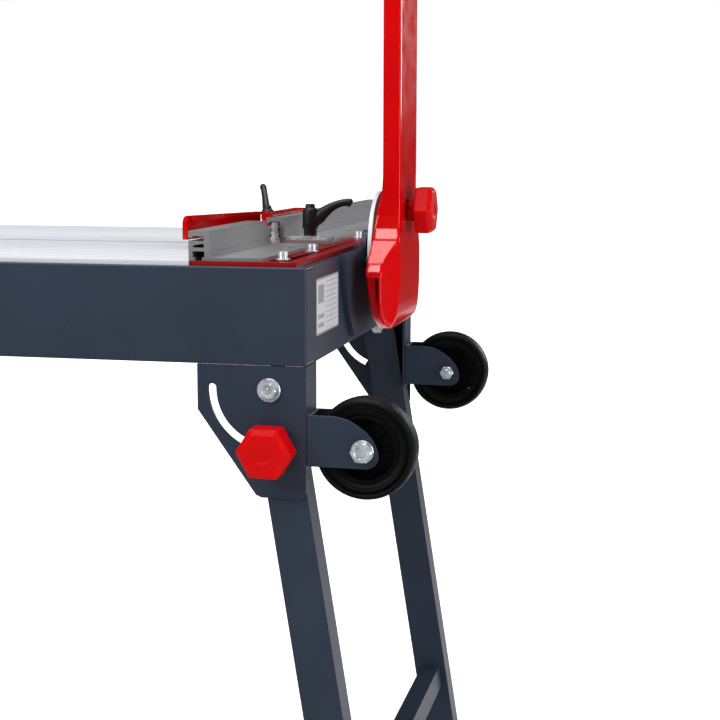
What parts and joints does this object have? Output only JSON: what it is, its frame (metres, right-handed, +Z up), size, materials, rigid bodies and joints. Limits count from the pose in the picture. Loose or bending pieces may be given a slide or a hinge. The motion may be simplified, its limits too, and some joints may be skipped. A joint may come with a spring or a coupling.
{
  "type": "tile saw on stand",
  "caption": "Bridge tile saw on a wheeled stand with folding legs: ribbed table, fence with angle stop, tilting beam with travelling, height-adjustable cutting head.",
  "frame": {"origin": "centre of the whole outline on the floor", "axes": "+X along the cut towards the end with the wheels, +Y from the front side to the back, +Z up"},
  "size_m": [1.696, 0.863, 1.1655],
  "materials": {
    "dark_paint": "satin textured",
    "red_gloss": "gloss",
    "red_plastic": "satin",
    "aluminium": "extruded",
    "zinc": "zinc plated",
    "black_plastic": "fine grain",
    "rubber": "matt",
    "tyre": "matt",
    "blade_steel": "ground",
    "label": "satin"
  },
  "bodies": {
    "frame": {"frame_front": "dark_paint", "frame_back": "dark_paint", "frame_right": "dark_paint", "frame_left": "dark_paint", "cross_rails": "dark_paint", "water_tray": "black_plastic", "drain_plug": "rubber", "table_front": "aluminium", "table_back": "aluminium", "end_plate_right": "red_gloss", "end_plate_left": "red_gloss", "table_screws": "zinc", "fence_near": "aluminium", "fence_far": "aluminium", "fence_strap": "zinc", "strap_bolt": "zinc", "leg_bracket_rf": "dark_paint", "leg_bracket_rb": "dark_paint", "leg_bracket_lf": "dark_paint", "leg_bracket_lb": "dark_paint", "wheel_forks": "dark_paint", "stand_bolts": "zinc", "rating_plate": "label", "tilt_bracket_right": "dark_paint", "tilt_bracket_left": "dark_paint", "sector_right": "aluminium", "sector_left": "aluminium"},
    "fence_clamp": {"fence_lever": "black_plastic"},
    "stop_slide": {"stop_body": "red_gloss"},
    "stop_swing": {"stop_arm": "red_gloss"},
    "stop_clamp": {"stop_lever": "black_plastic"},
    "wheel_a": {"tyre_front": "tyre", "hub_front": "black_plastic"},
    "wheel_b": {"tyre_back": "tyre", "hub_back": "black_plastic"},
    "legs_a": {"legs_right": "dark_paint", "feet_right": "rubber"},
    "legs_b": {"legs_left": "dark_paint", "feet_left": "rubber"},
    "knob_rf": {"leg_knob_rf": "red_plastic"},
    "knob_rb": {"leg_knob_rb": "red_plastic"},
    "knob_lf": {"leg_knob_lf": "red_plastic"},
    "knob_lb": {"leg_knob_lb": "red_plastic"},
    "bridge": {"arm_right": "red_gloss", "arm_left": "red_gloss", "bridge_screws": "zinc", "beam": "aluminium"},
    "tilt_knob_a": {"arm_knob_right": "red_plastic"},
    "tilt_knob_b": {"arm_knob_left": "red_plastic"},
    "carriage": {"carriage": "dark_paint", "glides": "black_plastic"},
    "travel_lock": {"carriage_knob": "red_plastic"},
    "head": {"head": "dark_paint", "motor": "black_plastic", "blade_guard": "red_gloss", "handle": "black_plastic"},
    "depth_lock": {"plunge_knob": "red_plastic"},
    "blade": {"blade": "blade_steel", "spindle": "zinc"},
    "trigger": {"trigger": "red_plastic"}
  },
  "joints": [
    {"name": "bridge_tilt", "type": "hinge", "parent": "frame", "child": "bridge", "pos_m": [0.743, -0.1425, 0.7805], "axis": [1, 0, 0], "range_deg": [0, 45]},
    {"name": "carriage_travel", "type": "slide", "parent": "bridge", "child": "carriage", "axis": [1, 0, 0], "range_m": [-0.31, 0.873]},
    {"name": "head_depth", "type": "slide", "parent": "carriage", "child": "head", "axis": [0, 0, -1], "range_m": [0, 0.058]},
    {"name": "blade_spin", "type": "hinge", "parent": "head", "child": "blade", "pos_m": [-0.29, -0.1425, 0.9265], "axis": [0, 1, 0], "continuous": true},
    {"name": "trigger_press", "type": "slide", "parent": "head", "child": "trigger", "axis": [0, 0, 1], "range_m": [0, 0.004], "stiffness_N_per_m": 900},
    {"name": "travel_lock_turn", "type": "hinge", "parent": "carriage", "child": "travel_lock", "pos_m": [-0.29, -0.1425, 1.1005], "axis": [0, 1, 0], "range_deg": [0, 180]},
    {"name": "depth_lock_turn", "type": "hinge", "parent": "head", "child": "depth_lock", "pos_m": [-0.436, -0.1425, 0.9995], "axis": [0, 1, 0], "range_deg": [0, 180]},
    {"name": "tilt_knob_a_turn", "type": "hinge", "parent": "bridge", "child": "tilt_knob_a", "pos_m": [0.743, -0.1425, 0.8201], "axis": [1, 0, 0], "range_deg": [0, 180]},
    {"name": "tilt_knob_b_turn", "type": "hinge", "parent": "bridge", "child": "tilt_knob_b", "pos_m": [-0.757, -0.1425, 0.8201], "axis": [1, 0, 0], "range_deg": [0, 180]},
    {"name": "legs_a_fold", "type": "hinge", "parent": "frame", "child": "legs_a", "pos_m": [0.7065, -0.1265, 0.6585], "axis": [0, 1, 0], "range_deg": [0, 92]},
    {"name": "legs_b_fold", "type": "hinge", "parent": "frame", "child": "legs_b", "pos_m": [-0.7205, -0.1265, 0.6585], "axis": [0, -1, 0], "range_deg": [0, 92]},
    {"name": "knob_rf_turn", "type": "hinge", "parent": "legs_a", "child": "knob_rf", "pos_m": [0.70799, -0.3985, 0.60152], "axis": [0, 1, 0], "range_deg": [0, 180]},
    {"name": "knob_rb_turn", "type": "hinge", "parent": "legs_a", "child": "knob_rb", "pos_m": [0.70799, 0.1455, 0.60152], "axis": [0, 1, 0], "range_deg": [0, 180]},
    {"name": "knob_lf_turn", "type": "hinge", "parent": "legs_b", "child": "knob_lf", "pos_m": [-0.72199, -0.3985, 0.60152], "axis": [0, 1, 0], "range_deg": [0, 180]},
    {"name": "knob_lb_turn", "type": "hinge", "parent": "legs_b", "child": "knob_lb", "pos_m": [-0.72199, 0.1455, 0.60152], "axis": [0, 1, 0], "range_deg": [0, 180]},
    {"name": "wheel_a_spin", "type": "hinge", "parent": "frame", "child": "wheel_a", "pos_m": [0.798, -0.378, 0.6027], "axis": [0, 1, 0], "continuous": true},
    {"name": "wheel_b_spin", "type": "hinge", "parent": "frame", "child": "wheel_b", "pos_m": [0.798, 0.125, 0.6027], "axis": [0, 1, 0], "continuous": true},
    {"name": "fence_clamp_turn", "type": "hinge", "parent": "frame", "child": "fence_clamp", "pos_m": [0.673, -0.1075, 0.7805], "axis": [0, 0, 1], "range_deg": [-60, 80]},
    {"name": "stop_travel", "type": "slide", "parent": "frame", "child": "stop_slide", "axis": [0, 1, 0], "range_m": [0, 0.25]},
    {"name": "stop_swing_turn", "type": "hinge", "parent": "stop_slide", "child": "stop_swing", "pos_m": [0.606, -0.0485, 0.7805], "axis": [0, 0, 1], "range_deg": [-40, 8]},
    {"name": "stop_clamp_turn", "type": "hinge", "parent": "stop_swing", "child": "stop_clamp", "pos_m": [0.606, -0.0485, 0.7805], "axis": [0, 0, 1], "range_deg": [0, 60]}
  ]
}
